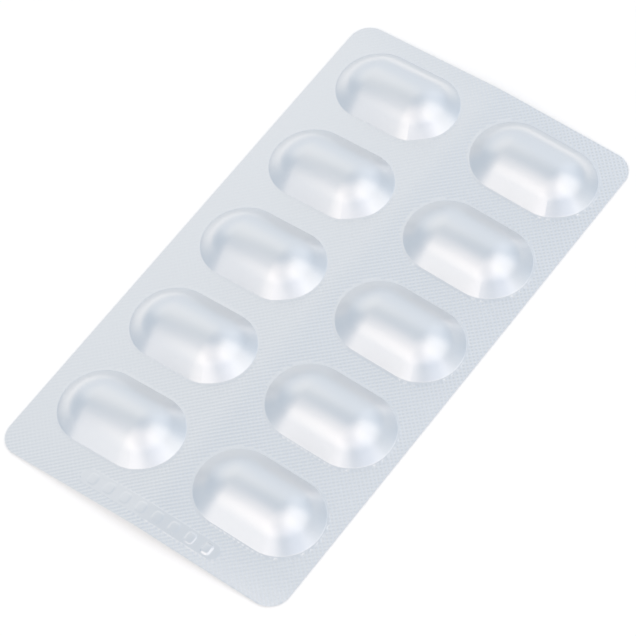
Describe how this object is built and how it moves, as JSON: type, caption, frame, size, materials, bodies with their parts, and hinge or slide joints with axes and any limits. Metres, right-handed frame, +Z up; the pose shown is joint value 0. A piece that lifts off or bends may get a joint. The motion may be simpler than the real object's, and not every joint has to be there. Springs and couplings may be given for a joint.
{
  "type": "blister pack",
  "caption": "Thin rectangular foil blister pack with rounded corners and rows of raised oblong pockets that hold tablets sealed until pressed out.",
  "frame": {"origin": "middle of the footprint, on the surface that the pack's long edges rest on", "axes": "+X across the pack, +Y along it, away from the margin with the code pads, +Z up out of the pockets"},
  "size_m": [0.064, 0.115, 0.0062],
  "materials": {
    "foil": "satin aluminium foil under a clear film"
  },
  "bodies": {
    "root": {"blister_pack": "foil"}
  },
  "joints": []
}
